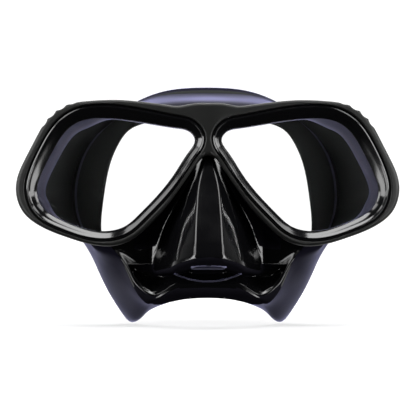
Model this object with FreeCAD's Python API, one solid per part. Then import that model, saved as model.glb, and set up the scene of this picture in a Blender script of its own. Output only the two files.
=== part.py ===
"""Two-window diving mask with swivel strap buckles, in millimetres.

The wearer looks along -Y, +Z is up and the mask is mirrored about the plane X = 0.
"left" and "right" are the wearer's, so the left side is at +X.

The two flat lenses lean: their outer ends are swept back towards the temples and their
lower edges are tilted in towards the cheeks. Everything clamped to the lenses is drawn
flat, as seen from the front with depth 0 at the front face, and then leaned with them.
"""

import FreeCAD, Part
import math
import os

V = FreeCAD.Vector

# ---------------------------------------------------------------- driving dimensions
SWEEP = 0.11            # depth gained per mm towards the temple
TILT = 0.0875           # depth gained per mm downwards
BRIDGE_HALF = 1.2       # half width of the bridge's unswept strip
TOP_Z = 98.4            # height of the bridge's top, where the tilt starts

FRAME_DEPTH = 10.6
FRAME_EDGE = 0.8        # chamfer round the frame
LEDGE_DEPTH = 8.6           # depth of the ledge that the skirt's flange sits on
LENS_FRONT = 3.2        # depth of the glass behind the frame's front
LENS_BACK = 6.8
LENS_OVERLAP = 3.0      # how far the glass reaches under the retainer
BEAD_WIDTH = 2.1        # rounded bead along the retainer's outer edge
RING_GAP = 0.2          # between retainer and frame
FLANGE_WIDTH = 4.2      # skirt's flange under the lens, from the aperture outwards
SEAT_INSIDE = 0.3       # skirt's lens seat reaches this far inside the aperture
SEAT_OUTSIDE = 1.9
WALL = 2.0              # silicone wall
LIP_THICKNESS = 1.8     # sealing lip that follows the face

FACE_FRONT_Y = 26.0     # nearest point of the face's rounded shape
FACE_RADII = (72.0, 76.0, 95.0)
FACE_Z = 58.0

SIDES = {"left": 1, "right": -1}

# Aperture of one lens and the retainer's width round it, as seen from the front:
# (x, z, width) for x > 0, clockwise from the nose.
APERTURE = [
    (6.0, 82.7, 4.4), (8.2, 85.8, 4.8), (14.1, 87.5, 5.2), (24.2, 89.1, 5.6),
    (36.3, 91.0, 5.9), (48.8, 92.0, 6.0), (56.7, 91.0, 6.0), (62.8, 87.8, 6.1),
    (67.5, 82.4, 6.2), (72.1, 74.4, 6.2), (76.4, 65.6, 5.8), (78.0, 59.2, 5.4),
    (76.6, 53.3, 5.2), (73.2, 49.3, 5.0), (67.2, 46.0, 4.8), (59.0, 42.8, 4.7),
    (50.8, 40.9, 4.6), (43.7, 41.0, 4.5), (37.7, 43.0, 4.3), (31.4, 48.3, 4.2),
    (22.8, 57.2, 4.2), (14.6, 67.8, 4.2), (9.0, 76.4, 4.2),
]

# Half of the frame's outer edge, from the top of the bridge round to its underside.
FRAME_EDGE_HALF = [
    (0.0, 98.4), (7.5, 98.2), (12.5, 97.3), (20.1, 97.9), (30.1, 99.2), (41.3, 100.1),
    (52.4, 99.8), (58.6, 99.2), (63.7, 98.0), (68.6, 95.7), (73.0, 91.5), (78.8, 81.9),
    (83.5, 73.0), (86.3, 66.8), (87.5, 61.2), (86.8, 54.6), (83.8, 48.7), (78.9, 44.4),
    (71.2, 40.4), (63.0, 37.4), (55.8, 35.2), (48.7, 33.9), (42.5, 34.0), (37.4, 35.4),
    (33.0, 37.9), (26.2, 43.8), (18.1, 52.8), (12.1, 61.1), (8.0, 67.1), (5.0, 71.6),
    (2.8, 74.1), (0.0, 74.9),
]

# Grip flutes cut across the frame's upper outer corner: (x, z) of each groove's bottom.
FLUTES = [(60.7, 98.5), (66.1, 96.1), (70.7, 92.8), (74.3, 88.8)]
FLUTE_RADIUS = 5.0

# Half outlines of the skirt's body, from the forehead round to the upper lip.
BODY_FRONT = [
    (0, 95.0), (14, 94.6), (28, 96.2), (41, 97.2), (54, 96.4), (64, 93.0), (71, 86),
    (76.5, 75), (79.8, 64.5), (78.5, 54), (72, 46), (62, 40), (50, 34.5), (39, 22),
    (28, 12.5), (14, 13), (0, 14),
]
BODY_MIDDLE = [
    (0, 107.2), (14, 106.6), (26, 103.8), (38, 98.5), (49, 92), (58.5, 84.5), (65, 77),
    (68.5, 69), (69.5, 60), (68.8, 51), (66, 42), (60.5, 33), (53, 21), (43, 7.5),
    (31, -0.5), (15, 7.2), (0, 9.0),
]
BODY_BACK = [
    (0, 120.0), (14, 119.0), (27, 115.0), (39, 107.5), (50, 98), (58.5, 88), (63.5, 78),
    (65.5, 69), (65.8, 60), (64.6, 51), (61.5, 42), (56, 33), (48.5, 20), (41.5, 5.0),
    (33, -7.5), (15, 3.5), (0, 6.5),
]
BODY_FRONT_DEPTH = 11.0
BODY_MIDDLE_Y = 36.0
BODY_BACK_Y = 82.0

# Nose pocket, as level slices: height, front y, half width in front, half width behind.
NOSE_SLICES = [
    (73.5, 7.0, 1.8, 4.0),
    (60.0, 2.5, 4.6, 10.0),
    (45.0, -4.0, 5.7, 15.0),
    (31.5, -10.0, 6.5, 19.0),
    (28.0, -8.0, 6.0, 18.5),
]
NOSE_BACK_Y = 30.0

# Opening for the face through the sealing lip: half outline, from the top down.
FACE_OPENING = [
    (0, 92), (16, 91), (30, 88), (39, 82), (45, 74), (49, 64), (51, 52), (50, 40),
    (45, 29), (36, 20), (26, 17), (14, 18), (0, 19),
]

# Buckle: hinge pin in the frame's lug, then a U-shaped body behind it.
PIN_X = 82.6
BUCKLE_Z = 60.5
PIN_BEHIND_FRAME = 4.6
PIN_RADIUS = 1.25
PIN_LENGTH = 15.0
LUG_RADIUS = 2.6
LUG_EAR = 3.0           # height of each of the lug's two ears
KNUCKLE_HEIGHT = 8.4
SHAFT_GAP = 0.06
BUCKLE_REST_DEG = 7.0   # the rear end leans in, towards the head
CHEEK_THICKNESS = 2.2
STRAP_SLOT = 18.0       # clear height between the cheeks
ROLLER_RADIUS = 2.0
ROLLER_PIN_RADIUS = 0.9
LEVER_PIN_RADIUS = 0.8
SPRING_HEIGHT = 4.4
SPRING_TURNS = 4
SPRING_WIRE = 0.3       # radius of the wire
SPRING_RADIUS = 1.35    # of the coil, to the wire's middle
SPRING_LEG = 0.45


# ---------------------------------------------------------------- outlines
def sampled(points, closed, count):
    """Evenly spaced points along the smooth curve through the given (x, z) points.

    A third value, such as a width, is carried along as the points' y.
    """
    curve = Part.BSplineCurve()
    vectors = [V(p[0], p[2] if len(p) > 2 else 0, p[1]) for p in points]
    curve.interpolate(Points=vectors, PeriodicFlag=closed)
    spaced = curve.toShape().discretize(Number=count + 1)
    return spaced[:-1] if closed else spaced


def offset_points(points, distance, closed=True, share=0.0):
    """Points moved outwards, for a loop that runs clockwise as seen along +Y.

    They move by the distance plus this share of the width that they carry as y.
    """
    moved = []
    last = len(points) - 1
    for i, p in enumerate(points):
        before = points[i - 1] if closed or i > 0 else p
        after = points[(i + 1) % len(points)] if closed or i < last else p
        along = V(after.x - before.x, 0, after.z - before.z)
        along.normalize()
        moved.append(p + V(-along.z, 0, along.x) * (distance + share * p.y))
    return moved


def at_depth(points, depth):
    return [V(p.x, depth, p.z) for p in points]


def closed_edge(points):
    curve = Part.BSplineCurve()
    curve.interpolate(Points=points, PeriodicFlag=True)
    return curve.toShape()


LENS_POINTS = sampled(APERTURE, True, 72)


def lens_edge(offset, depth, share=0.0):
    """The aperture's outline at this depth, moved out by the offset and a share of the ring."""
    return closed_edge(at_depth(offset_points(LENS_POINTS, offset, share=share), depth))


def solid_from(faces):
    solid = Part.Solid(Part.Shell(faces))
    if solid.Volume < 0:
        solid.reverse()
    return solid


def lens_plate(sections):
    """Solid between flat ends, through (offset, depth) or (offset, depth, share) outlines."""
    edges = [lens_edge(*s) for s in sections]
    faces = [Part.makeRuledSurface(a, b) for a, b in zip(edges, edges[1:])]
    faces += [Part.Face(Part.Wire([e])) for e in (edges[0], edges[-1])]
    return solid_from(faces)


def lens_ring(section):
    """Ring round the lens with a closed section of corners given as for lens_plate."""
    edges = [lens_edge(*s) for s in section]
    pairs = zip(edges, edges[1:] + edges[:1])
    return solid_from([Part.makeRuledSurface(a, b) for a, b in pairs])


def lean(shape):
    """Sweeps and tilts a flat-drawn shape with the lens of the +X side."""
    m = FreeCAD.Matrix()
    m.A21 = SWEEP
    m.A23 = -TILT
    m.A24 = TILT * TOP_Z - SWEEP * BRIDGE_HALF
    return shape.transformGeometry(m)


def lean_at(x, z):
    return SWEEP * (x - BRIDGE_HALF) + TILT * (TOP_Z - z)


def mirrored(shape):
    return shape.mirror(V(0, 0, 0), V(1, 0, 0))


def on_side(shape, side):
    return shape if SIDES[side] > 0 else mirrored(shape)


def box(x0, x1, y0, y1, z0, z1):
    return Part.makeBox(x1 - x0, y1 - y0, z1 - z0, V(x0, y0, z0))


def rod(radius, height, x, y, z_middle):
    """Upright cylinder about the given middle."""
    return Part.makeCylinder(radius, height, V(x, y, z_middle - height / 2), V(0, 0, 1))


# ---------------------------------------------------------------- lens parts
def make_lens():
    edge = 0.4
    return lean(lens_plate([
        (LENS_OVERLAP - edge, LENS_FRONT), (LENS_OVERLAP, LENS_FRONT + edge),
        (LENS_OVERLAP, LENS_BACK - edge), (LENS_OVERLAP - edge, LENS_BACK),
    ]))


def make_retainer():
    """Snap ring: a sloped lip over the glass, a rounded bead, and a band round the lens."""
    band = LENS_OVERLAP + 0.3
    return lean(lens_ring([
        (0.0, LENS_FRONT), (0.2, LENS_FRONT - 0.5), (-BEAD_WIDTH - 0.5, 1.5, 1),
        (-BEAD_WIDTH, 1.0, 1), (-BEAD_WIDTH + 0.4, 0.4, 1), (-BEAD_WIDTH / 2, 0.15, 1),
        (-0.5, 0.35, 1), (0.0, 1.1, 1), (0.0, LENS_BACK, 1),
        (band, LENS_BACK), (band, LENS_FRONT),
    ]))


# ---------------------------------------------------------------- frame
def frame_outline(inset, depth):
    half = sampled(FRAME_EDGE_HALF, False, 110)
    other = [V(-p.x, 0, p.z) for p in reversed(half[1:-1])]
    loop = offset_points(half + other, -inset)
    return closed_edge(at_depth(loop, depth))


def frame_blank():
    """Flat plate with the frame's outline and chamfered edges."""
    sections = [
        (FRAME_EDGE, 0.0), (0.0, FRAME_EDGE),
        (0.0, FRAME_DEPTH - FRAME_EDGE), (FRAME_EDGE, FRAME_DEPTH),
    ]
    edges = [frame_outline(*s) for s in sections]
    faces = [Part.makeRuledSurface(a, b) for a, b in zip(edges, edges[1:])]
    faces += [Part.Face(Part.Wire([e])) for e in (edges[0], edges[-1])]
    return solid_from(faces)


def make_rim():
    """Leaned rim round the +X lens, from the bridge outwards."""
    pocket = lens_plate([(RING_GAP, -1.0, 1), (RING_GAP, LEDGE_DEPTH, 1)])
    tunnel = lens_plate([
        (SEAT_OUTSIDE + RING_GAP, LEDGE_DEPTH - 0.5), (SEAT_OUTSIDE + RING_GAP, FRAME_DEPTH + 1),
    ])
    rim = lean(frame_blank()).cut([lean(pocket), lean(tunnel)])
    for x, z in FLUTES:
        outwards = V(x - 45, 0, z - 60)
        outwards.normalize()
        start = V(x, -1, z) + outwards * FLUTE_RADIUS
        rim = rim.cut(Part.makeCylinder(FLUTE_RADIUS, 40, start, V(0, 1, 0)))
    return rim.common(box(BRIDGE_HALF, 100, -20, 50, 0, 120))


def make_bridge():
    """Middle strip of the frame, which is tilted but not swept."""
    m = FreeCAD.Matrix()
    m.A23 = -TILT
    m.A24 = TILT * TOP_Z
    tilted = frame_blank().transformGeometry(m)
    return tilted.common(box(-BRIDGE_HALF, BRIDGE_HALF, -20, 50, 0, 120))


def pin_position():
    return PIN_X, FRAME_DEPTH + lean_at(PIN_X, BUCKLE_Z) + PIN_BEHIND_FRAME


def make_lug():
    """Two ears behind the frame's outer end, bored for the buckle's hinge pin."""
    x, y = pin_position()
    height = KNUCKLE_HEIGHT + 2 * (LUG_EAR + 0.15)
    root = lean(box(x - LUG_RADIUS, x + LUG_RADIUS, FRAME_DEPTH - 1.5, FRAME_DEPTH + 1.0,
                    BUCKLE_Z - height / 2, BUCKLE_Z + height / 2))
    web = box(x - LUG_RADIUS, x + LUG_RADIUS, y - PIN_BEHIND_FRAME + 0.4, y,
              BUCKLE_Z - height / 2, BUCKLE_Z + height / 2)
    lug = web.fuse(rod(LUG_RADIUS, height, x, y, BUCKLE_Z)).fuse(root)
    gap = rod(LUG_RADIUS + 0.7, KNUCKLE_HEIGHT + 0.3, x, y, BUCKLE_Z)
    behind = box(x - 8, x + 8, y, y + 8, BUCKLE_Z - KNUCKLE_HEIGHT / 2 - 0.15,
                 BUCKLE_Z + KNUCKLE_HEIGHT / 2 + 0.15)
    return lug.cut(gap).cut(behind)


def make_frame():
    x, y = pin_position()
    half = make_rim().fuse(make_lug())
    half = half.cut(rod(PIN_RADIUS, PIN_LENGTH + 2, x, y, BUCKLE_Z))
    return half.fuse([make_bridge(), mirrored(half)]).removeSplitter()


# ---------------------------------------------------------------- skirt
def half_wire(points, y_of):
    """Smooth half outline closed by a straight edge in the plane X = 0."""
    placed = [V(x, y_of(x, z), z) for x, z in points]
    curve = Part.BSplineCurve()
    curve.interpolate(Points=placed)
    return Part.Wire([curve.toShape(), Part.makeLine(placed[-1], placed[0])])


def inset_half(points, inset):
    """Half outline moved inwards, with its ends kept in the plane X = 0."""
    vectors = [V(x, 0, z) for x, z in points]
    moved = offset_points(vectors, -inset, closed=False)
    moved[0].x = moved[-1].x = 0
    return [(p.x, p.z) for p in moved]


def half_body(inset):
    front = half_wire(inset_half(BODY_FRONT, inset),
                      lambda x, z: BODY_FRONT_DEPTH + inset + lean_at(x, z))
    middle = half_wire(inset_half(BODY_MIDDLE, inset), lambda x, z: BODY_MIDDLE_Y)
    back = half_wire(inset_half(BODY_BACK, inset), lambda x, z: BODY_BACK_Y + inset)
    return Part.makeLoft([front, middle, back], True, True)


def full_body(inset):
    half = half_body(inset)
    return half.fuse(mirrored(half)).removeSplitter()


def nose(inset):
    wires = []
    for i, (z, front, half_front, half_back) in enumerate(NOSE_SLICES):
        level = z - inset if i == 0 else z + inset if i == len(NOSE_SLICES) - 1 else z
        y = front + inset
        wf = max(half_front - 0.8 * inset, 0.6)
        wb = half_back - inset
        corner = min(1.6, wf * 0.6)
        outline = [
            V(-wf + corner, y, level), V(wf - corner, y, level), V(wf, y + corner, level),
            V(wb, NOSE_BACK_Y + inset, level), V(-wb, NOSE_BACK_Y + inset, level),
            V(-wf, y + corner, level),
        ]
        wires.append(Part.makePolygon(outline + outline[:1]))
    return Part.makeLoft(wires, True, True)


def head(grow):
    """Rounded stand-in for the face, which the sealing lip follows."""
    a, b, c = (r + grow for r in FACE_RADII)
    m = FreeCAD.Matrix()
    m.scale(V(a, b, c))
    ball = Part.makeSphere(1.0).transformGeometry(m)
    ball.translate(V(0, FACE_FRONT_Y + FACE_RADII[1], FACE_Z))
    return ball


def make_skirt():
    outer = full_body(0).fuse(nose(0))
    inner = full_body(WALL).fuse(nose(WALL))
    seat = lean(lens_ring([
        (-SEAT_INSIDE, LENS_BACK), (FLANGE_WIDTH, LENS_BACK), (FLANGE_WIDTH, LEDGE_DEPTH),
        (SEAT_OUTSIDE, LEDGE_DEPTH), (SEAT_OUTSIDE, BODY_FRONT_DEPTH + 1.0),
        (-SEAT_INSIDE, BODY_FRONT_DEPTH + 1.0),
    ]))
    tunnel = lean(lens_plate([(-SEAT_INSIDE, LENS_BACK), (-SEAT_INSIDE, 20.0)]))
    face = head(0)
    wall = outer.cut(inner)
    lip = outer.common(head(LIP_THICKNESS))
    half_opening = half_wire(FACE_OPENING, lambda x, z: 0.0)
    opening = Part.Face(half_opening).extrude(V(0, 120, 0))
    opening = opening.fuse(mirrored(opening)).removeSplitter()
    opening = opening.common(box(-60, 60, FACE_FRONT_Y - 8, 120, -20, 130))
    skirt = wall.fuse(lip.cut(opening)).fuse([seat, mirrored(seat)])
    skirt = skirt.cut([tunnel, mirrored(tunnel)]).cut(face)
    pieces = sorted(skirt.Solids, key=lambda s: s.Volume)
    return pieces[-1]


# ---------------------------------------------------------------- buckle
# Drawn for the +X side about the hinge pin: local y runs back along the strap.
ROLLER_AT = (-0.6, 19.8)
LEVER_PIN_AT = (2.6, 11.5)


def placed(shape):
    """Turns a buckle part to its rest angle and puts it on the hinge pin."""
    x, y = pin_position()
    shape = shape.copy()
    shape.rotate(V(0, 0, 0), V(0, 0, 1), BUCKLE_REST_DEG)
    shape.translate(V(x, y, BUCKLE_Z))
    return shape


def cheek(z_low):
    """Side plate, seen along Z: a long rounded plate that holds both cross pins."""
    points = [(-4.6, 8.5), (-4.9, 14.0), (-5.0, 27.0), (-3.6, 30.5), (0.8, 31.5),
              (3.0, 29.0), (3.9, 22.0), (4.3, 14.0), (3.9, 8.0), (0.5, 5.6)]
    curve = Part.BSplineCurve()
    curve.interpolate(Points=[V(x, y, z_low) for x, y in points], PeriodicFlag=True)
    return Part.Face(Part.Wire([curve.toShape()])).extrude(V(0, 0, CHEEK_THICKNESS))


def make_buckle_body():
    half_slot = STRAP_SLOT / 2
    body = rod(LUG_RADIUS, KNUCKLE_HEIGHT, 0, 0, 0)
    neck = box(-2.2, 1.0, 0, 9.5, -KNUCKLE_HEIGHT / 2, KNUCKLE_HEIGHT / 2)
    front_wall = box(-3.6, 1.0, 7.2, 9.6, -half_slot - 0.5, half_slot + 0.5)
    floor = box(-5.0, -3.8, 8.4, 13.0, -half_slot - 0.5, half_slot + 0.5)
    rear_bar = box(-4.7, -3.2, 26.9, 29.6, -half_slot - 0.5, half_slot + 0.5)
    body = body.fuse([neck, front_wall, floor, rear_bar,
                      cheek(half_slot), cheek(-half_slot - CHEEK_THICKNESS)])
    body = body.cut(rod(PIN_RADIUS + SHAFT_GAP, KNUCKLE_HEIGHT + 2, 0, 0, 0))
    body = body.cut(rod(ROLLER_PIN_RADIUS, 40, *ROLLER_AT, 0))
    return body.cut(rod(LEVER_PIN_RADIUS, 40, *LEVER_PIN_AT, 0)).removeSplitter()


def make_roller():
    height = STRAP_SLOT - 0.6
    roller = rod(ROLLER_RADIUS, height, *ROLLER_AT, 0)
    return roller.cut(rod(ROLLER_PIN_RADIUS + SHAFT_GAP, height + 2, *ROLLER_AT, 0))


def make_roller_pin():
    return rod(ROLLER_PIN_RADIUS, STRAP_SLOT + 2 * CHEEK_THICKNESS, *ROLLER_AT, 0)


def make_lever_pin():
    return rod(LEVER_PIN_RADIUS, STRAP_SLOT + 2 * CHEEK_THICKNESS, *LEVER_PIN_AT, 0)


def make_lever():
    """Release lever: thumb pad in front of its pin, toothed pawl behind it."""
    px, py = LEVER_PIN_AT
    points = [(px + 1.4, py - 5.0), (px + 2.7, py - 1.5), (px + 2.8, py + 2.5),
              (px + 2.0, py + 8.0), (px + 0.6, py + 12.0), (px - 0.3, py + 11.4),
              (px + 0.1, py + 8.0), (px + 0.3, py + 5.0), (px - 1.6, py + 0.4),
              (px - 1.5, py - 1.5), (px + 0.2, py - 3.0), (px + 0.3, py - 5.2)]
    height = STRAP_SLOT - 0.8
    outline = Part.makePolygon([V(x, y, -height / 2) for x, y in points + points[:1]])
    lever = Part.Face(outline).extrude(V(0, 0, height))
    lever = lever.cut(rod(LEVER_PIN_RADIUS + SHAFT_GAP, height + 2, px, py, 0))
    room = rod(SPRING_RADIUS + SPRING_WIRE + 0.4, SPRING_HEIGHT + 0.8, px, py, 0)
    return lever.cut(room)


def make_lever_spring():
    """Torsion spring round the lever's pin, with one leg each way along the lever."""
    pitch = (SPRING_HEIGHT - 2 * SPRING_WIRE) / SPRING_TURNS
    steps = 12
    route = [V(SPRING_RADIUS, -SPRING_LEG, 0), V(SPRING_RADIUS, -SPRING_LEG / 2, 0)]
    for i in range(steps * SPRING_TURNS + 1):
        turn = 2 * math.pi * i / steps
        route.append(V(SPRING_RADIUS * math.cos(turn), SPRING_RADIUS * math.sin(turn),
                       pitch * i / steps))
    top = pitch * SPRING_TURNS
    route += [V(SPRING_RADIUS, SPRING_LEG, top), V(SPRING_RADIUS, 2 * SPRING_LEG, top)]
    curve = Part.BSplineCurve()
    curve.interpolate(Points=route)
    octagon = [route[0] + V(SPRING_WIRE * math.cos(k * math.pi / 4), 0,
                            SPRING_WIRE * math.sin(k * math.pi / 4)) for k in range(8)]
    wire = Part.makePolygon(octagon + octagon[:1])
    spring = Part.Wire([curve.toShape()]).makePipeShell([wire], True, False)
    spring.rotate(V(0, 0, 0), V(0, 0, 1), 180)
    spring.translate(V(*LEVER_PIN_AT, -top / 2))
    return spring


def make_hinge_pin():
    x, y = pin_position()
    pin = rod(PIN_RADIUS, PIN_LENGTH, x, y, BUCKLE_Z)
    cap = rod(PIN_RADIUS + 0.7, 0.7, x, y, BUCKLE_Z + PIN_LENGTH / 2)
    return pin.fuse(cap).removeSplitter()


# ---------------------------------------------------------------- assembly
def make_parts():
    parts = {"frame": make_frame(), "skirt": make_skirt()}
    per_side = {
        "lens": make_lens(),
        "lens_retainer": make_retainer(),
        "hinge_pin": make_hinge_pin(),
        "buckle_body": placed(make_buckle_body()),
        "strap_roller": placed(make_roller()),
        "roller_pin": placed(make_roller_pin()),
        "release_lever": placed(make_lever()),
        "lever_pin": placed(make_lever_pin()),
        "lever_spring": placed(make_lever_spring()),
    }
    for name, shape in per_side.items():
        for side in SIDES:
            parts[f"{name}_{side}"] = on_side(shape, side)
    return parts


def main():
    parts = make_parts()
    whole = Part.makeCompound(list(parts.values())).optimalBoundingBox(True, False)
    origin = V(0, -(whole.YMin + whole.YMax) / 2, -whole.ZMin)
    os.makedirs("parts", exist_ok=True)
    for name, shape in parts.items():
        shape.translate(origin)
        shape.exportStep(f"parts/{name}.step")
        print(name, "solids", len(shape.Solids), "valid", shape.isValid(),
              "mm3", round(shape.Volume, 1))
    print("moved by", origin, "size", whole.XLength, whole.YLength, whole.ZLength)


main()
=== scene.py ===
import math

import bmesh
import bpy
import numpy as np
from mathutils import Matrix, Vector


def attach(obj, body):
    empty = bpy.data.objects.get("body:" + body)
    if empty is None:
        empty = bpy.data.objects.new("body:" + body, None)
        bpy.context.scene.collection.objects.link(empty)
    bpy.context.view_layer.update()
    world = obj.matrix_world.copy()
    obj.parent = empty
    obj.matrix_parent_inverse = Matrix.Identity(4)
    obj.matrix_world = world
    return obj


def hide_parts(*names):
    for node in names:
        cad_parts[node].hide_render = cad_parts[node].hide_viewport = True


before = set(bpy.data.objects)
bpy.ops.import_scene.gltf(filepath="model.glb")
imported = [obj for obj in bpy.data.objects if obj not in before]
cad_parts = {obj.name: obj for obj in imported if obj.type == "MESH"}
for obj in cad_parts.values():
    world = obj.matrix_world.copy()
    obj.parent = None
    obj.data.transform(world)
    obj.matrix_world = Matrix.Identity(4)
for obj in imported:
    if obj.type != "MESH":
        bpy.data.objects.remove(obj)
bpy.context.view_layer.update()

# The mask is drawn in millimetres in the CAD's drawing coordinates: depth 0 is the frame's front
# face at the bridge and grows backwards, and X = 0 is the plane of symmetry.
ORIGIN = np.array([0.0, 31.673, -3.389])    # the row frame's origin in drawing coordinates
SWEEP = 0.11                                # lean of each lens, as in the CAD
TILT = 0.0875
TOP_Z = 98.4
BRIDGE_RADIUS = 3.0                         # half width over which the two sides' sweeps blend
FRAME_DEPTH = 10.6
LEDGE_DEPTH = 8.6
RING_GAP = 0.25
PIN_X = 82.6                                # buckle's hinge pin, in the frame's lug
BUCKLE_Z = 60.5
PIN_BEHIND_FRAME = 4.6
LUG_RADIUS = 2.6
LUG_EAR = 3.0
KNUCKLE_HEIGHT = 8.7
SIDES = {"left": 1, "right": -1}
ROOM_FRONT = 0.02                           # brightness of the room as the gloss mirrors it
ROOM_BACK = 1.3
FLOOR_FADE = (0.08, 0.34)                   # distances between which the floor's glow changes
FLOOR_GLOW = (0.62, 1.0)                    # the glow at those two distances

# Aperture of one lens with the snap ring's width round it: (x, z, width).
APERTURE = [
    (6.0, 82.7, 4.4), (8.2, 85.8, 4.8), (14.1, 87.5, 5.2), (24.2, 89.1, 5.6),
    (36.3, 91.0, 5.9), (48.8, 92.0, 6.0), (56.7, 91.0, 6.0), (62.8, 87.8, 6.1),
    (67.5, 82.4, 6.2), (72.1, 74.4, 6.2), (76.4, 65.6, 5.8), (78.0, 59.2, 5.4),
    (76.6, 53.3, 5.2), (73.2, 49.3, 5.0), (67.2, 46.0, 4.8), (59.0, 42.8, 4.7),
    (50.8, 40.9, 4.6), (43.7, 41.0, 4.5), (37.7, 43.0, 4.3), (31.4, 48.3, 4.2),
    (22.8, 57.2, 4.2), (14.6, 67.8, 4.2), (9.0, 76.4, 4.2),
]
FRAME_EDGE_HALF = [
    (0.0, 98.4), (7.5, 98.2), (12.5, 97.3), (20.1, 97.9), (30.1, 99.2), (41.3, 100.1),
    (52.4, 99.8), (58.6, 99.2), (63.7, 98.0), (68.6, 95.7), (73.0, 91.5), (78.8, 81.9),
    (83.5, 73.0), (86.3, 66.8), (87.5, 61.2), (86.8, 54.6), (83.8, 48.7), (78.9, 44.4),
    (71.2, 40.4), (63.0, 37.4), (55.8, 35.2), (48.7, 33.9), (42.5, 34.0), (37.4, 35.4),
    (33.0, 37.9), (26.2, 43.8), (18.1, 52.8), (12.1, 61.1), (8.0, 67.1), (5.0, 71.6),
    (2.8, 74.1), (0.0, 74.9),
]
FLUTES = [(60.7, 98.5), (66.1, 96.1), (70.7, 92.8), (74.3, 88.8)]   # grip grooves' bottoms
FLUTE_RADIUS = 5.0
FLUTE_AIM = (45.0, 60.0)                    # each groove's axis is straight out from this point
RIM_MIDDLE = (43.0, 66.0)                   # point which the rows of the rim are matched round


# ---------------------------------------------------------------- curves and meshes
def cubic(knots, points, at, closed=False):
    """The C2 curve through the points at the given knots, evaluated at other parameters."""
    t, p = np.asarray(knots, float), np.asarray(points, float)
    h = np.diff(t)
    slope = np.diff(p, axis=0) / h.reshape((-1,) + (1,) * (p.ndim - 1))
    n = len(t)
    a, b = np.zeros((n, n)), np.zeros_like(p)
    for i in range(1, n - 1):
        a[i, i - 1:i + 2] = h[i - 1], 2 * (h[i - 1] + h[i]), h[i]
        b[i] = 6 * (slope[i] - slope[i - 1])
    a[0, 0] = a[-1, -1] = 1
    if closed:
        a[0, -1] = -1
        a[-1, [0, 1, -2]] = 2 * h[0], h[0], h[-1]
        a[-1, -1] = 2 * h[-1]
        b[-1] = 6 * (slope[0] - slope[-1])
    bend = np.linalg.solve(a, b.reshape(n, -1)).reshape(p.shape)
    k = np.clip(np.searchsorted(t, at, side="right") - 1, 0, n - 2)
    shape = (-1,) + (1,) * (p.ndim - 1)
    hk = h[k].reshape(shape)
    u = ((at - t[k]) / h[k]).reshape(shape)
    w = 1 - u
    return ((w ** 3 - w) * bend[k] + (u ** 3 - u) * bend[k + 1]) * hk ** 2 / 6 \
        + w * p[k] + u * p[k + 1]


def even_curve(points, count, closed=False):
    """Evenly spaced points along the smooth curve through the given ones."""
    p = np.array(points, float)
    if closed:
        p = np.vstack([p, p[:1]])
    knots = np.concatenate([[0], np.cumsum(np.linalg.norm(np.diff(p, axis=0), axis=1))])
    dense = cubic(knots, p, np.linspace(0, knots[-1], 30 * len(p)), closed)
    along = np.concatenate([[0], np.cumsum(np.linalg.norm(np.diff(dense, axis=0), axis=1))])
    at = np.linspace(0, along[-1], count + 1)[:-1] if closed else np.linspace(0, along[-1], count)
    return np.stack([np.interp(at, along, dense[:, i]) for i in range(dense.shape[1])], 1)


def offset(loop, distance):
    """A closed clockwise (x, z) loop moved outwards, by one distance or one for each point."""
    along = np.roll(loop, -1, 0) - np.roll(loop, 1, 0)
    along /= np.linalg.norm(along, axis=1)[:, None]
    return loop + np.reshape(distance, (-1, 1)) * np.stack([-along[:, 1], along[:, 0]], 1)


def lean(x, z):
    """How far back the leaned frame is at (x, z)."""
    a = np.abs(x)
    swept = np.where(a < 2 * BRIDGE_RADIUS, a ** 2 / (4 * BRIDGE_RADIUS), a - BRIDGE_RADIUS)
    return SWEEP * swept + TILT * (TOP_Z - z)


def leaned(loop, depth):
    """A flat (x, z) loop at this depth behind the leaned front face, as 3-D points."""
    x, z = loop[:, 0], loop[:, 1]
    return np.stack([x, depth + lean(x, z), z], 1)


def in_row(points):
    return (np.asarray(points) - ORIGIN) / 1000


def grid_faces(rows, columns, wrap_rows, wrap_columns):
    """Quads of a grid whose first index runs over rows, joined up where it wraps."""
    r = np.arange(rows if wrap_rows else rows - 1)
    c = np.arange(columns if wrap_columns else columns - 1)
    r, c = np.meshgrid(r, c, indexing="ij")
    r2, c2 = (r + 1) % rows, (c + 1) % columns
    quads = np.stack([r * columns + c, r * columns + c2, r2 * columns + c2, r2 * columns + c], -1)
    return quads.reshape(-1, 4)


def mesh_piece(name, points, faces, material, weld=False, smooth=True):
    """A mesh from points in drawing coordinates, with its normals outwards."""
    mesh = bpy.data.meshes.new(name)
    mesh.from_pydata(in_row(points).tolist(), [], [list(face) for face in faces])
    piece = bpy.data.objects.new(name, mesh)
    bpy.context.scene.collection.objects.link(piece)
    bm = bmesh.new()
    bm.from_mesh(mesh)
    if weld:
        bmesh.ops.remove_doubles(bm, verts=bm.verts, dist=1e-6)
    bmesh.ops.recalc_face_normals(bm, faces=bm.faces)
    for face in bm.faces:
        face.smooth = smooth
    bm.to_mesh(mesh)
    bm.free()
    mesh.materials.append(material)
    return piece


def swept_loop(name, rows, material, side=1):
    """Ring-shaped piece whose section goes round through the given rows of points."""
    rows = np.array(rows)
    rows[..., 0] *= side
    faces = grid_faces(len(rows), rows.shape[1], True, True)
    return mesh_piece(name, rows.reshape(-1, 3), faces, material)


def prism(name, outline, z_from, z_to, edge, paint):
    """Flat-shaded upright prism with chamfered ends; the outline is (x, depth) points."""
    outline = np.asarray(outline)
    middle = outline.mean(0)
    shrunk = middle + (outline - middle) * (1 - edge / np.abs(outline - middle).max(0))
    grow = math.copysign(edge, z_to - z_from)
    levels = [(shrunk, z_from), (outline, z_from + grow), (outline, z_to - grow), (shrunk, z_to)]
    points = np.vstack([np.column_stack([o, np.full(len(o), z)]) for o, z in levels])
    count = len(outline)
    faces = grid_faces(4, count, False, True).tolist()
    faces += [list(range(count)), list(range(3 * count, 4 * count))]
    return mesh_piece(name, points, faces, paint, smooth=False)


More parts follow.
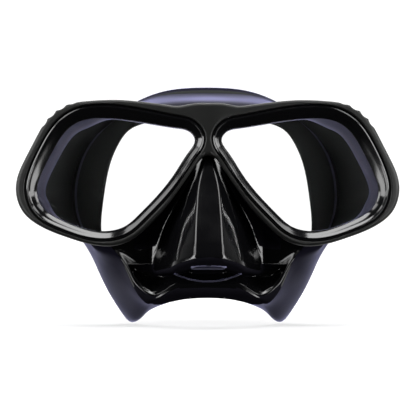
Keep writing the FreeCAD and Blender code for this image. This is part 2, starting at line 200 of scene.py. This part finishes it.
# ---------------------------------------------------------------- materials
def material(name, colour, roughness, **sockets):
    m = bpy.data.materials.new(name)
    m.use_nodes = True
    shader = m.node_tree.nodes["Principled BSDF"]
    shader.inputs["Base Color"].default_value = (*colour, 1)
    shader.inputs["Roughness"].default_value = roughness
    for socket, value in sockets.items():
        shader.inputs[socket.replace("_", " ")].default_value = value
    return m


def node(m, kind, **values):
    n = m.node_tree.nodes.new(kind)
    for key, value in values.items():
        if key in n.inputs:
            n.inputs[key].default_value = value
        else:
            setattr(n, key, value)
    return n


def mottle(m, scale, low, high, detail=4.0):
    """Varies the roughness softly between two values, by object-space noise."""
    links = m.node_tree.links
    shader = m.node_tree.nodes["Principled BSDF"]
    place = node(m, "ShaderNodeTexCoord")
    noise = node(m, "ShaderNodeTexNoise", Scale=scale, Detail=detail)
    spread = node(m, "ShaderNodeMapRange")
    spread.inputs["From Min"].default_value = 0.3
    spread.inputs["From Max"].default_value = 0.7
    spread.inputs["To Min"].default_value = low
    spread.inputs["To Max"].default_value = high
    links.new(place.outputs["Object"], noise.inputs["Vector"])
    links.new(noise.outputs["Fac"], spread.inputs["Value"])
    links.new(spread.outputs["Result"], shader.inputs["Roughness"])
    return place


def grain(m, place, scale, strength, distance):
    """Fine moulded texture."""
    links = m.node_tree.links
    shader = m.node_tree.nodes["Principled BSDF"]
    noise = node(m, "ShaderNodeTexNoise", Scale=scale, Detail=3.0)
    bump = node(m, "ShaderNodeBump", Strength=strength, Distance=distance)
    links.new(place.outputs["Object"], noise.inputs["Vector"])
    links.new(noise.outputs["Fac"], bump.inputs["Height"])
    links.new(bump.outputs["Normal"], shader.inputs["Normal"])


def satin_plastic():
    m = material("frame_satin", (0.0085, 0.0088, 0.0084), 0.42, Specular_IOR_Level=0.35)
    place = mottle(m, 60, 0.38, 0.46)
    grain(m, place, 2600, 0.10, 0.0001)
    return m


def gloss_plastic():
    m = material("retainer_gloss", (0.003, 0.003, 0.0035), 0.12)
    mottle(m, 45, 0.09, 0.15)
    return m


def polished_silicone():
    """The front of the skirt, round the nose, comes from a polished part of the mould."""
    m = material("silicone_polished", (0.0025, 0.0025, 0.003), 0.13)
    mottle(m, 70, 0.08, 0.17)
    return m


def frosted_silicone():
    """The rest of the skirt is matt, and bluish where it is seen at a low angle."""
    m = material("silicone_frosted", (0.009, 0.0084, 0.016), 0.5, Specular_IOR_Level=0.03,
                 Sheen_Weight=1.0, Sheen_Roughness=0.28, Sheen_Tint=(0.48, 0.48, 0.85, 1))
    place = mottle(m, 90, 0.44, 0.56)
    grain(m, place, 3000, 0.08, 0.0001)
    return m


def underside_shade_silicone():
    """Painted shade: a matt copy of the polished silicone with no reflection, for the
    downward-facing undersides of the nose and upper lip, so they stay dark instead of mirroring
    the bright room.
    """
    m = material("silicone_underside_shade", (0.009, 0.0085, 0.012), 0.6, Specular_IOR_Level=0.0)
    place = mottle(m, 90, 0.52, 0.68)
    grain(m, place, 3000, 0.08, 0.0001)
    return m


def highlight_silicone():
    """Painted highlight: a paler copy of the silicone, put on the lens seats, the lip's fold, the
    tray under the nose and a fold inside, so that they stand out light against the rest.
    """
    m = material("silicone_painted_highlight", (0.055, 0.054, 0.085), 0.45, Specular_IOR_Level=0.2,
                 Sheen_Weight=0.6, Sheen_Roughness=0.4, Sheen_Tint=(0.5, 0.5, 0.85, 1))
    mottle(m, 90, 0.4, 0.5)
    return m


def inner_silicone():
    """Matt inside of the skirt, which hardly mirrors the bright room behind it."""
    m = material("silicone_inside", (0.030, 0.032, 0.031), 0.8, Specular_IOR_Level=0.0)
    place = mottle(m, 90, 0.7, 0.9)
    grain(m, place, 2500, 0.05, 0.0001)
    return m


def lens_glass():
    """Clear glass with the faintest smears."""
    m = material("lens_glass", (1.0, 1.0, 1.0), 0.0, Transmission_Weight=1.0, IOR=1.5)
    mottle(m, 30, 0.0, 0.012)
    return m


def steel():
    m = material("pin_steel", (0.55, 0.55, 0.57), 0.25, Metallic=1.0)
    mottle(m, 400, 0.2, 0.32)
    return m


SATIN = satin_plastic()
GLOSS = gloss_plastic()
POLISHED = polished_silicone()
FROSTED = frosted_silicone()
INSIDE = inner_silicone()
HIGHLIGHT_PAINT = highlight_silicone()
UNDERSIDE_SHADE = underside_shade_silicone()
GLASS = lens_glass()
STEEL = steel()


# ---------------------------------------------------------------- frame
LENS_CURVE = even_curve(APERTURE, 240, closed=True)
LENS_LOOP = LENS_CURVE[:, :2]
RING_WIDTH = LENS_CURVE[:, 2]


def polar_match(loop, centre, angles):
    """Points of a loop round a centre, at the given directions from it."""
    d = loop - centre
    own = np.unwrap(np.arctan2(d[:, 1], d[:, 0]))
    if own[-1] < own[0]:
        own, d = own[::-1], d[::-1]
    own = np.concatenate([own - 2 * np.pi, own, own + 2 * np.pi])
    d = np.concatenate([d, d, d])
    wanted = own[len(d) // 3] + np.mod(angles - own[len(d) // 3], 2 * np.pi)
    return centre + np.stack([np.interp(wanted, own, d[:, i]) for i in (0, 1)], 1)


def outer_loops(insets):
    """The frame's half outline closed along X = 0, moved in by each inset."""
    half = even_curve(FRAME_EDGE_HALF, 300)
    full = np.vstack([half, half[-2:0:-1] * [-1, 1]])
    count = len(half)
    loops = []
    for inset in insets:
        loop = offset(full, -inset)
        for x, z in FLUTES:
            out = np.array([x, z]) - FLUTE_AIM
            centre = np.array([x, z]) + out / math.hypot(*out) * FLUTE_RADIUS
            for sign in (1, -1):
                away = loop - centre * [sign, 1]
                gap = np.linalg.norm(away, axis=1)
                inside = gap < FLUTE_RADIUS
                loop[inside] = (centre * [sign, 1]) + away[inside] \
                    * (FLUTE_RADIUS / gap[inside])[:, None]
        seam = np.linspace(loop[count - 1], loop[0], 26)[1:-1]
        loops.append(np.vstack([loop[:count], seam]))
    return loops


def frame_rows():
    """Section rows of one rim, from the ledge round the front to the back."""
    round_front = [(1.5, 0.0), (1.05, 0.07), (0.62, 0.27), (0.27, 0.62), (0.07, 1.05), (0, 1.5)]
    round_back = [(0.0, 6.0), (0.0, 9.6), (0.3, 10.3), (1.0, 10.6)]
    outer = outer_loops([i for i, _ in round_front + round_back])
    centre = np.array(RIM_MIDDLE)
    d = outer[len(round_front) - 1] - centre
    angles = np.arctan2(d[:, 1], d[:, 0])

    def inner(distance):
        return polar_match(offset(LENS_LOOP, distance), centre, angles)

    wall = RING_WIDTH + RING_GAP
    rows = [leaned(inner(2.1), FRAME_DEPTH), leaned(inner(2.1), LEDGE_DEPTH),
            leaned(inner(wall), LEDGE_DEPTH), leaned(inner(wall), 4.0)]
    rows += [leaned(inner(wall + i), depth) for i, depth in
             [(0.0, 0.7), (0.1, 0.3), (0.32, 0.08), (0.6, 0.0)]]
    lip = inner(wall + 0.6)
    for share in (0.2, 0.4, 0.6, 0.8):
        rows.append(leaned(lip + share * (outer[0] - lip), 0.0))
    for loop, (_, depth) in zip(outer, round_front + round_back):
        rows.append(leaned(loop, depth))
    return rows


def make_lugs():
    """Two ears on each side behind the frame's end, which hold the buckle's hinge pin."""
    axis = FRAME_DEPTH + lean(PIN_X, BUCKLE_Z) + PIN_BEHIND_FRAME
    turns = np.linspace(0, math.pi, 17)
    outline = [(PIN_X + LUG_RADIUS * math.cos(t), axis + LUG_RADIUS * math.sin(t)) for t in turns]
    outline += [(PIN_X - LUG_RADIUS, axis - PIN_BEHIND_FRAME - 1.0),
                (PIN_X + LUG_RADIUS, axis - PIN_BEHIND_FRAME - 1.0)]
    for side, sign in SIDES.items():
        for end in (1, -1):
            near = BUCKLE_Z + end * KNUCKLE_HEIGHT / 2
            ear = prism(f"frame_ear_{side}_{'top' if end > 0 else 'low'}",
                        np.array(outline) * [sign, 1], near, near + end * LUG_EAR, 0.35, SATIN)
            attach(ear, "mask")


def make_frame_piece():
    rows = np.array(frame_rows())
    faces = grid_faces(len(rows), rows.shape[1], True, True)
    points = rows.reshape(-1, 3)
    on_seam = np.abs(points[:, 0]) < 1e-6
    faces = faces[~on_seam[faces].all(1)]
    both = np.vstack([points, points * [-1, 1, 1]])
    all_faces = np.vstack([faces, faces[:, ::-1] + len(points)])
    piece = mesh_piece("frame_shell", both, all_faces, SATIN, weld=True)
    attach(piece, "mask")
    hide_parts("frame")
    return piece


# ---------------------------------------------------------------- retainers, seats and lenses
# Section of the ring as (distance, depth, edge): the distance is outwards from the aperture, or
# from the ring's outer edge where the third value is 1.
RING_SECTION = [
    (0.0, 3.2, 0), (0.0, 2.95, 0), (0.15, 2.75, 0), (-2.6, 1.55, 1), (-2.45, 1.45, 1),
    (-2.35, 1.37, 1), (-1.42, 0.68, 1), (-1.34, 0.63, 1), (-1.25, 0.61, 1), (-1.16, 0.63, 1),
    (-1.08, 0.66, 1), (-0.15, 1.09, 1), (-0.04, 1.18, 1), (0.0, 1.36, 1),
    (0.0, 6.8, 1), (3.3, 6.8, 0), (3.3, 3.2, 0),
]


def seat_lip(loop):
    """How far the silicone behind the glass shows inside the aperture: on the outer side."""
    return 3.6 * step(56, 70, loop[:, 0] + 0.5 * (loop[:, 1] - 66))


def make_rings():
    lip = seat_lip(LENS_LOOP)
    seat_section = [
        (0.1, 6.85), (1.8, 6.85), (4.1, 6.85), (4.1, 8.5), (1.9, 8.5), (1.9, 13.2),
        (0.5 - lip, 13.4), (0.1 - lip, 13.2), (-lip, 12.9), (-0.5 * lip, 9.8), (-0.02 * lip, 7.0),
    ]
    for side, sign in SIDES.items():
        rows = [leaned(offset(LENS_LOOP, o + from_edge * RING_WIDTH), depth)
                for o, depth, from_edge in RING_SECTION]
        ring = swept_loop(f"retainer_ring_{side}", rows, GLOSS, sign)
        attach(ring, "mask")
        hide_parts(f"lens_retainer_{side}")
        rows = [leaned(offset(LENS_LOOP, o), depth) for o, depth in seat_section]
        # the seat gets the paler silicone: its light strip seen through the glass is a painted
        # highlight
        seat = swept_loop(f"lens_seat_{side}", rows, HIGHLIGHT_PAINT, sign)
        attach(seat, "mask")


# ---------------------------------------------------------------- skirt
# Ribs of the skirt's outer surface, from the middle of the forehead round the temple and cheek
# to the middle of the upper lip. Each runs from behind the frame, over the ridge (third point),
# to the sealing edge, as (x, depth, z).
RIBS = [
    [(0, 11.5, 94.5), (0, 14.5, 98.8), (0, 20.5, 101), (0, 29.5, 102.9), (0, 35, 105.2),
     (0, 37.2, 107.6)],
    [(14, 13.2, 94.3), (14, 16.2, 98.4), (14, 22, 100.6), (14.2, 30.5, 102.5),
     (14.2, 36.2, 104.7), (14, 38.6, 107)],
    [(27, 14.7, 95.7), (27, 18, 98.2), (26.8, 24, 99.6), (26.5, 33, 101.2),
     (26.2, 39, 102.6), (26, 41.5, 104.3)],
    [(41, 16.5, 97), (40.5, 20, 97.3), (39.5, 27, 97.2), (38.5, 37, 97.3),
     (37.6, 43.5, 98), (37, 45.8, 99.3)],
    [(55, 18, 96.3), (54, 22, 95.3), (52, 30, 93.2), (49.5, 42, 91.3), (48, 50, 91.5),
     (47.5, 52, 92.5)],
    [(66.5, 20, 92), (65, 24, 90), (62, 32, 86.5), (58.5, 46, 83.6), (56.9, 57, 83.4),
     (56.5, 59.8, 84)],
    [(73.5, 21.3, 84), (72, 25, 82), (68, 33, 78.5), (64.2, 49, 75.3), (62.6, 62.5, 74.3),
     (62.3, 66.3, 74.5)],
    [(78, 22.2, 72.5), (76.5, 26, 71.4), (72, 34, 69), (67.5, 51, 66), (65.6, 66, 64.7),
     (65.3, 70.4, 64.5)],
    [(79.5, 23, 61), (78.2, 26.5, 60.5), (73.5, 34.5, 59.3), (68.5, 52, 57), (66.1, 67, 55.3),
     (65.8, 71.1, 55)],
    [(79, 23.6, 53), (77.5, 27, 52.4), (73, 35, 50.8), (67.5, 51.5, 47.8), (64.2, 64.5, 45.4),
     (63.5, 67.7, 45)],
    [(72, 24, 46.5), (69.6, 27.5, 45.2), (64.6, 34.5, 42.4), (60.6, 48, 38), (58.4, 59, 34.6),
     (57.8, 62, 34)],
    [(60, 23.4, 41.5), (58, 26.5, 38.6), (55.6, 33, 35.4), (54.6, 45, 30.6), (53.8, 55.5, 26.8),
     (53.7, 58.8, 26.2)],
    [(54, 22.5, 38), (52.6, 23.8, 33.6), (50.3, 28, 30), (50, 41, 24.5), (50, 53, 19.2),
     (50.1, 57.4, 18.2)],
    [(46.5, 21.5, 36.5), (45, 23, 32.6), (41.5, 25, 27), (43.5, 36, 19.5), (45.2, 50, 12),
     (45.8, 57.1, 9.8)],
    [(40, 21, 37), (38, 24.5, 30), (35.5, 22, 19.5), (37, 33, 12), (39.6, 48, 4.8),
     (40.7, 57.2, 1.8)],
    [(33.5, 20.5, 40.5), (32, 26, 28), (31, 21.5, 14.3), (32.3, 32, 7.5), (34.8, 47, -0.4),
     (36, 56.7, -3.2)],
    [(28, 20, 45), (27.5, 27, 27), (27, 21, 11.6), (28.4, 31, 6), (30.6, 44, 0.1),
     (31.4, 52.6, -1.2)],
    [(22.5, 19, 51), (22.5, 26.5, 27), (23.2, 20.5, 11.6), (24.8, 26, 7.6), (26.7, 39, 3.8),
     (27.3, 47.5, 2.6)],
    [(17, 17.5, 57.5), (17.5, 25, 28), (18.9, 19.5, 14.2), (19.8, 22.6, 9.6), (20.6, 35.5, 6.6),
     (21, 42.5, 5.7)],
    [(11, 15.8, 64.5), (11.5, 24, 29), (13, 18.5, 17.5), (13, 20.6, 11.2), (13, 32, 8.8),
     (13, 38.8, 8.2)],
    [(5, 14.2, 71.2), (5.5, 23, 29.5), (6.2, 18, 18.2), (6.1, 19.6, 11.5), (6, 30.5, 9.8),
     (6, 37.2, 9.2)],
    [(0, 13.5, 75.5), (0, 23, 30), (0, 17.8, 18.3), (0, 19.3, 11.7), (0, 30, 10),
     (0, 36.7, 9.4)],
]
LAST_RIB = len(RIBS) - 1
ALL_ROUND = 2 * LAST_RIB                    # ribs in the closed loop of both sides
EDGE_COLUMN = 13                            # column that stays on the polished front's edge
# Where the polished front ends on the cheek: the rib that its edge meets at each level.
POLISH_EDGE = [(0, 13.0), (1, 13.2), (2, 13.5), (2.5, 14.8), (3, 16.7), (4, 17.8), (5, 18.5)]
# The sealing lip's opening for the face, one (x, z) point for each rib.
FACE_OPENING = [
    (0, 93), (10, 92.9), (20, 92.3), (29.4, 90.7), (36.5, 87.6), (41, 81.8), (44.4, 74.5),
    (46.6, 66.5), (47.9, 59), (49, 51), (49.6, 43), (48.8, 36), (46.5, 30), (43, 25),
    (38.5, 21), (34, 18.8), (29, 17.4), (24, 17), (18.5, 17.5), (12.5, 18.6), (6, 19.3),
    (0, 19.5),
]
# The nose's front panel from the bridge down and round its tip: height, depth, half width,
# steepness of the sides next to it and further out, and radius of the fillet at their foot.
NOSE_PANEL = [
    (76.0, 9.4, 1.0, 4.0, 4.0, 1.2), (73.0, 6.4, 2.2, 4.0, 4.0, 1.2),
    (67.4, 4.4, 3.7, 3.6, 3.7, 1.4), (62.4, 2.6, 4.7, 2.6, 3.3, 1.6),
    (57.4, 0.6, 5.2, 1.9, 3.3, 2.6), (47.6, -3.4, 5.6, 1.2, 3.4, 4.5),
    (36.0, -8.4, 6.0, 0.9, 3.4, 6.5), (30.6, -10.2, 6.2, 0.8, 3.4, 6.5),
    (29.2, -10.4, 6.2, 0.8, 3.4, 5.0), (28.0, -9.6, 6.2, 0.8, 3.4, 3.5),
    (27.0, -8.2, 6.1, 0.8, 3.4, 3.0), (26.2, -6.2, 5.9, 0.8, 3.4, 2.5),
    (25.6, -3.0, 5.8, 0.8, 3.4, 2.0), (25.2, 1.0, 6.0, 0.8, 3.4, 1.5),
    (24.8, 6.0, 6.4, 0.8, 3.4, 1.5), (24.0, 14.0, 7.0, 0.8, 3.4, 1.5),
    (21.8, 30.0, 8.0, 0.8, 3.4, 1.5),
]
SHOULDER = ((34, 66), (9.5, 1.5))   # width of the sides' gentler part, at these heights
NOSE_EDGE = 0.6             # rounding of the panel's long edges
WING_DROP = 0.32            # the nostril walls' lower edge falls this much per mm outwards
TRAY = (24.3, 7.4, 5.6)     # small shelf under the nose: height, half width, depth
LIP_LINE = (17.6, 3.6, 15.5)        # fold on the lip: lowest height, rise to its ends, half width
# Pinch wells: (x, z) of each well's lower rim; its upper edge is level.
WELL_RIM = [
    (14.0, 19.5), (16.8, 17.2), (20.0, 14.0), (25.4, 12.1), (30.0, 14.5), (34.8, 20.5),
    (37.0, 25.0),
]
WELL_TOP = 25.2
WELL_DEPTH = 6.0
SKIRT_WALL = 1.8
LIP_LEVEL, LIP_REACH = 1.85, 0.75           # levels that the fold on the upper lip lies between
FOLD_SHARE = 0.2                            # the sealing lip's fold: place from edge to opening
FOLD_ROW = 12                               # and its row, counted from the lip's inner edge
SKIRT_PAINTS = [FROSTED, POLISHED, INSIDE, HIGHLIGHT_PAINT, UNDERSIDE_SHADE]
FACE_RADII = (72.0, 76.0, 95.0)
FACE_CENTRE = (102.0, 58.0)


def face_depth(x, z):
    """Depth of the face's rounded surface, which the sealing lip lies on."""
    a, b, c = FACE_RADII
    inside = 1 - (x / a) ** 2 - ((z - FACE_CENTRE[1]) / c) ** 2
    return FACE_CENTRE[0] - b * np.sqrt(np.maximum(inside, 0.02))


def smooth_min(a, b, radius):
    h = np.clip(0.5 + 0.5 * (b - a) / radius, 0, 1)
    return b + (a - b) * h - radius * h * (1 - h)


def over(t, radius):
    """How far t is past zero, with a rounded corner."""
    return 0.5 * (t + np.sqrt(t ** 2 + radius ** 2))


def step(low, high, t):
    s = np.clip((t - low) / (high - low), 0, 1)
    return s * s * (3 - 2 * s)


def nose_depth(x, z, wall):
    """The nose pocket's outside, or its inside when the wall's thickness is given, and the
    fillet's radius there."""
    panel = np.array(NOSE_PANEL[::-1])
    a = np.abs(x)
    level = z - 0.6 * wall + WING_DROP * over(a - 5.0, 1.0) * step(45, 30, z)
    fine = np.linspace(panel[0, 0], panel[-1, 0], 900)
    kernel = np.hanning(13) / np.hanning(13).sum()
    shape = []
    for i in range(1, 6):
        rough = np.pad(np.interp(fine, panel[:, 0], panel[:, i]), 6, mode="edge")
        shape.append(np.interp(level, fine, np.convolve(rough, kernel, "valid")))
    depth, half, gentle, steep, fillet = shape
    past = a - np.maximum(half - wall, 0.5)
    side = gentle * over(past, NOSE_EDGE)
    side += (steep - gentle) * over(past - np.interp(level, *SHOULDER), 1.5)
    return depth + wall + side - 0.3 * NOSE_EDGE, fillet


def shaped_front(points, wall=0.0):
    """The front of the skirt with the nose pocket, the pinch wells and the tray below it."""
    x, base, z = points[..., 0], points[..., 1], points[..., 2]
    a = np.abs(x)
    rim = np.interp(a, *np.array(WELL_RIM).T)
    down = np.clip((WELL_TOP - z) / (WELL_TOP - rim - 0.8), 0, 1)
    beside = step(14.5, 17.5, a) * step(37, 33.5, a)
    base = base + WELL_DEPTH * np.sin(np.pi * down) ** 0.8 * beside
    fold = np.exp(-((a - 26) / 1.6) ** 2) * step(20, 26, z) * step(48, 40, z)
    base = base + 0.5 * fold
    nose, fillet = nose_depth(x, z, wall)
    merged = smooth_min(nose, base, fillet)
    height, half, depth = TRAY
    tray = depth + wall + 7 * over(np.abs(z - height) - 0.75, 0.3) + 5 * over(a - half, 0.5)
    return smooth_min(tray, merged, 0.5)


def above_lip_line(points):
    """Height above the curved fold on the upper lip; large past the fold's ends."""
    low, rise, half = LIP_LINE
    x, _, z = np.moveaxis(points, -1, 0)
    return np.where(np.abs(x) < half, z - low - rise * (x / half) ** 2, 99.0)


def loop_of_ribs(ribs):
    """Ribs of both sides in one closed loop, starting at the forehead's middle."""
    ribs = np.array(ribs, float)
    mirror = np.ones(ribs.shape[-1])
    mirror[0] = -1
    return np.concatenate([ribs, ribs[-2:0:-1] * mirror, ribs[:1]])


def column_positions():
    """Where the columns stand between the ribs: closer together round the nose."""
    steps = [7] * 12 + [9] * 5 + [14] * 4
    half = np.concatenate([[i + k / n for k in range(n)] for i, n in enumerate(steps)])
    return np.concatenate([half, [float(LAST_RIB)], ALL_ROUND - half[:0:-1]])


def warped(columns, level):
    """Column positions of one row, with the polished front's edge always on the same column."""
    edge = np.interp(level, *np.array(POLISH_EDGE).T)
    half = np.minimum(columns, ALL_ROUND - columns)
    half = np.interp(half, [0, 9, EDGE_COLUMN, LAST_RIB],
                     [0, 9 + 0.3 * (edge - EDGE_COLUMN), edge, LAST_RIB])
    return np.where(columns <= LAST_RIB, half, ALL_ROUND - half)


def rib_surface(columns, levels):
    """Points of the smooth surface through the ribs, [level][column]."""
    rows = cubic(np.arange(len(RIBS[0])), loop_of_ribs(RIBS).transpose(1, 0, 2), levels)
    return np.stack([cubic(np.arange(ALL_ROUND + 1), row, warped(columns, level), closed=True)
                     for row, level in zip(rows, levels)])


def surface_normals(points):
    """Outward normals of a [level][column] grid whose columns close up."""
    across = np.roll(points, -1, 1) - np.roll(points, 1, 1)
    down = np.gradient(points, axis=0)
    n = np.cross(down, across)
    n /= np.linalg.norm(n, axis=2)[..., None]
    if n[len(n) // 2, 0, 2] < 0:
        n = -n
    return n


def outer_surface(columns, half, middle):
    """Levels and points of the skirt's outside, with the crest of its rim and the lip's fold."""
    levels = np.concatenate([
        np.linspace(0, 0.8, 34)[:-1], np.linspace(0.8, 1.4, 46)[:-1],
        np.linspace(1.4, 2.4, 32)[:-1], np.linspace(2.4, 5, 24)])
    outer = rib_surface(columns, levels)
    outer[..., 1] = np.where(middle, shaped_front(outer), outer[..., 1])
    crest = np.exp(-((levels - 2) / 0.10) ** 2)[:, None] * step(14, 15, half)
    outer[..., 1] -= 0.55 * crest * step(10, 15, np.abs(outer[..., 0]))
    lip_rows = (np.abs(levels - LIP_LEVEL) < LIP_REACH)[:, None]
    outer[..., 1] -= 0.6 * lip_rows * np.exp(-(above_lip_line(outer) / 0.5) ** 2)
    return levels, outer


def inner_surface(columns, middle):
    """Points of the skirt's inside, one wall's thickness in."""
    levels = np.concatenate([
        np.linspace(0, 0.8, 16)[:-1], np.linspace(0.8, 1.4, 16)[:-1], np.linspace(1.4, 4.9, 22)])
    base = rib_surface(columns, levels)
    inner = base - SKIRT_WALL * surface_normals(base)
    inner[..., 1] = np.where(middle, shaped_front(inner, SKIRT_WALL), inner[..., 1])
    return inner


def sealing_lip(edge, columns):
    """The lip from the skirt's back edge in to the face's opening: its back, then its front."""
    around = np.arange(ALL_ROUND + 1)
    opening = cubic(around, loop_of_ribs(FACE_OPENING), warped(columns, 5), closed=True)
    back, front = [], []
    for share in np.linspace(0.04, 1, 16):
        xz = edge + (opening - edge) * share
        back.append(np.stack([xz[:, 0], face_depth(*xz.T) + 0.1, xz[:, 1]], 1))
    for share in np.linspace(0.985, 0.1, 14):
        xz = edge + (opening - edge) * share
        thick = 0.9 + 0.5 * (1 - share) + 0.5 * math.exp(-((share - FOLD_SHARE) / 0.05) ** 2)
        front.append(np.stack([xz[:, 0], face_depth(*xz.T) - thick, xz[:, 1]], 1))
    return back, front


def skirt_paint(faces, rows, half, levels, first_inside):
    """Which of SKIRT_PAINTS each face has."""
    row, column = np.divmod(faces[:, 0], rows.shape[1])
    across = (half[column] + half[(column + 1) % len(half)]) / 2
    level = np.append(levels, np.full(len(rows) - len(levels), 9.0))[row]
    middles = rows.reshape(-1, 3)[faces].mean(1)
    x, _, z = middles.T
    frosted, polished, inside, highlight, under = range(len(SKIRT_PAINTS))
    kind = np.full(len(faces), frosted, np.int32)
    kind[(across > EDGE_COLUMN) & (level < 5)] = polished
    rise = surface_normals(rows[:len(levels)])[..., 2].ravel()
    rise = np.append(rise, np.zeros(rows.shape[0] * rows.shape[1] - len(rise)))[faces].mean(1)
    # polished faces that face downwards get the matt, reflection-free copy: painted shade on the
    # undersides
    kind[(kind == polished) & (np.abs(x) < 34) & (rise < -0.25)] = under
    # the fold on the upper lip and the tray under the nose get the paler silicone, a painted
    # highlight
    on_line = (np.abs(above_lip_line(middles)) < 0.4) & (np.abs(level - LIP_LEVEL) < LIP_REACH)
    tray = (np.abs(z - TRAY[0]) < 0.95) & (np.abs(x) < TRAY[1] + 0.4) & (level < 1.8)
    kind[on_line | tray] = highlight
    kind[row >= first_inside] = inside
    # one row at the fold inside the sealing lip gets the paler silicone, a painted highlight line
    kind[(row == first_inside + FOLD_ROW) & (np.abs(x) > 36)] = highlight
    return kind


def make_skirt():
    columns = column_positions()
    half = np.minimum(columns, ALL_ROUND - columns)
    middle = (half > EDGE_COLUMN + 0.5)[None]
    levels, outer = outer_surface(columns, half, middle)
    back, front = sealing_lip(outer[-1][:, [0, 2]], columns)
    rows = np.concatenate([outer, back, front, inner_surface(columns, middle)[::-1]])
    faces = grid_faces(len(rows), rows.shape[1], True, True)
    skirt = mesh_piece("skirt_moulding", rows.reshape(-1, 3), faces, SKIRT_PAINTS[0])
    for paint in SKIRT_PAINTS[1:]:
        skirt.data.materials.append(paint)
    kind = skirt_paint(faces, rows, half, levels, len(outer) + len(back) - 1)
    skirt.data.polygons.foreach_set("material_index", kind)
    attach(skirt, "mask")
    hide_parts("skirt")
    return skirt


# ---------------------------------------------------------------- stage
def area_light(name, size, place, target, power, colour=(1, 1, 1)):
    light = bpy.data.lights.new(name, "AREA")
    light.shape = "RECTANGLE"
    light.size, light.size_y = size
    light.energy = power
    light.color = colour
    lamp = bpy.data.objects.new(name, light)
    lamp.location = place
    lamp.visible_camera = False
    lamp.rotation_euler = (Vector(target) - Vector(place)).to_track_quat("-Z", "Y").to_euler()
    bpy.context.scene.collection.objects.link(lamp)
    return lamp


def make_room():
    """White all round for the camera, also through the lenses; to the gloss, dark in front and
    bright behind the mask."""
    world = bpy.data.worlds.new("studio")
    bpy.context.scene.world = world
    world.use_nodes = True
    tree = world.node_tree
    links = tree.links
    seen = tree.nodes["Background"]
    seen.inputs["Color"].default_value = (1, 1, 1, 1)
    seen.inputs["Strength"].default_value = 1.15
    mirrored = tree.nodes.new("ShaderNodeBackground")
    direction = tree.nodes.new("ShaderNodeTexCoord")
    split = tree.nodes.new("ShaderNodeSeparateXYZ")
    fade = tree.nodes.new("ShaderNodeMapRange")
    fade.interpolation_type = "SMOOTHSTEP"
    fade.inputs["From Min"].default_value = -0.15
    fade.inputs["From Max"].default_value = 0.75
    fade.inputs["To Min"].default_value = ROOM_FRONT
    fade.inputs["To Max"].default_value = ROOM_BACK
    ray = tree.nodes.new("ShaderNodeLightPath")
    straight = tree.nodes.new("ShaderNodeMath")     # through the glass without a reflection
    straight.operation = "SUBTRACT"
    straight.use_clamp = True
    white = tree.nodes.new("ShaderNodeMath")
    white.operation = "MAXIMUM"
    mix = tree.nodes.new("ShaderNodeMixShader")
    links.new(direction.outputs["Generated"], split.inputs["Vector"])
    links.new(split.outputs["Y"], fade.inputs["Value"])
    links.new(fade.outputs["Result"], mirrored.inputs["Strength"])
    links.new(ray.outputs["Is Transmission Ray"], straight.inputs[0])
    links.new(ray.outputs["Glossy Depth"], straight.inputs[1])
    links.new(straight.outputs["Value"], white.inputs[0])
    links.new(ray.outputs["Is Camera Ray"], white.inputs[1])
    links.new(white.outputs["Value"], mix.inputs["Fac"])
    links.new(mirrored.outputs["Background"], mix.inputs[1])
    links.new(seen.outputs["Background"], mix.inputs[2])
    links.new(mix.outputs["Shader"], tree.nodes["World Output"].inputs["Surface"])


def make_floor():
    """A white floor that glows, less so under the mask, so that the shadow there is faint. It
    hides from mirror, diffuse and glass rays, so the low lights show in the gloss through it."""
    mesh = bpy.data.meshes.new("floor")
    corners = [(-3, -3, 0), (3, -3, 0), (3, 3, 0), (-3, 3, 0)]
    mesh.from_pydata(corners, [], [(0, 1, 2, 3)])
    floor = bpy.data.objects.new("floor", mesh)
    bpy.context.scene.collection.objects.link(floor)
    paper = material("floor_paper", (0.35, 0.35, 0.355), 0.9, Specular_IOR_Level=0.0,
                     Emission_Color=(1, 1, 1, 1))
    links = paper.node_tree.links
    place = node(paper, "ShaderNodeTexCoord")
    distance = node(paper, "ShaderNodeVectorMath", operation="LENGTH")
    fade = node(paper, "ShaderNodeMapRange", interpolation_type="SMOOTHSTEP")
    for end, spot, glow in zip(("Min", "Max"), FLOOR_FADE, FLOOR_GLOW):
        fade.inputs[f"From {end}"].default_value = spot
        fade.inputs[f"To {end}"].default_value = glow
    links.new(place.outputs["Object"], distance.inputs[0])
    links.new(distance.outputs["Value"], fade.inputs["Value"])
    shader = paper.node_tree.nodes["Principled BSDF"]
    links.new(fade.outputs["Result"], shader.inputs["Emission Strength"])
    mesh.materials.append(paper)
    floor.visible_glossy = False
    floor.visible_diffuse = False
    floor.visible_transmission = False
    floor.location.z = -0.0005


def make_lights():
    middle = (0, 0, 0.055)
    area_light("overhead", (0.60, 0.20), (0, -0.34, 0.70), middle, 4.0)
    area_light("top_back", (0.50, 0.20), (0, 0.35, 0.65), middle, 3.0)
    for sign in (1, -1):
        area_light(f"side_{sign}", (0.30, 0.36), (0.66 * sign, -0.30, 0.17), middle, 3.0)
        area_light(f"panel_{sign}", (0.34, 0.24), (0.50 * sign, -0.30, 0.46), middle, 1.4)
        area_light(f"low_{sign}", (0.20, 0.40), (0.42 * sign, -0.46, -0.10), middle, 2.0)


def make_camera():
    camera = bpy.data.objects.new("camera", bpy.data.cameras.new("camera"))
    bpy.context.scene.collection.objects.link(camera)
    camera.data.lens = 173.4
    camera.data.sensor_width = 36
    camera.location = (-0.0195, -0.9317, 0.0546)
    camera.rotation_euler = (math.pi / 2, 0, -math.radians(1.222))
    bpy.context.scene.camera = camera
    bpy.context.scene.view_settings.view_transform = "Standard"


def paint_cad_nodes():
    for side in SIDES:
        for name, paint in (("lens", GLASS), ("hinge_pin", STEEL), ("buckle_body", SATIN),
                            ("strap_roller", GLOSS), ("roller_pin", STEEL),
                            ("release_lever", SATIN), ("lever_pin", STEEL),
                            ("lever_spring", STEEL)):
            node_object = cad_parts[f"{name}_{side}"]
            node_object.data.materials.clear()
            node_object.data.materials.append(paint)


make_frame_piece()
make_lugs()
make_rings()
make_skirt()
paint_cad_nodes()
make_room()
make_floor()
make_lights()
make_camera()
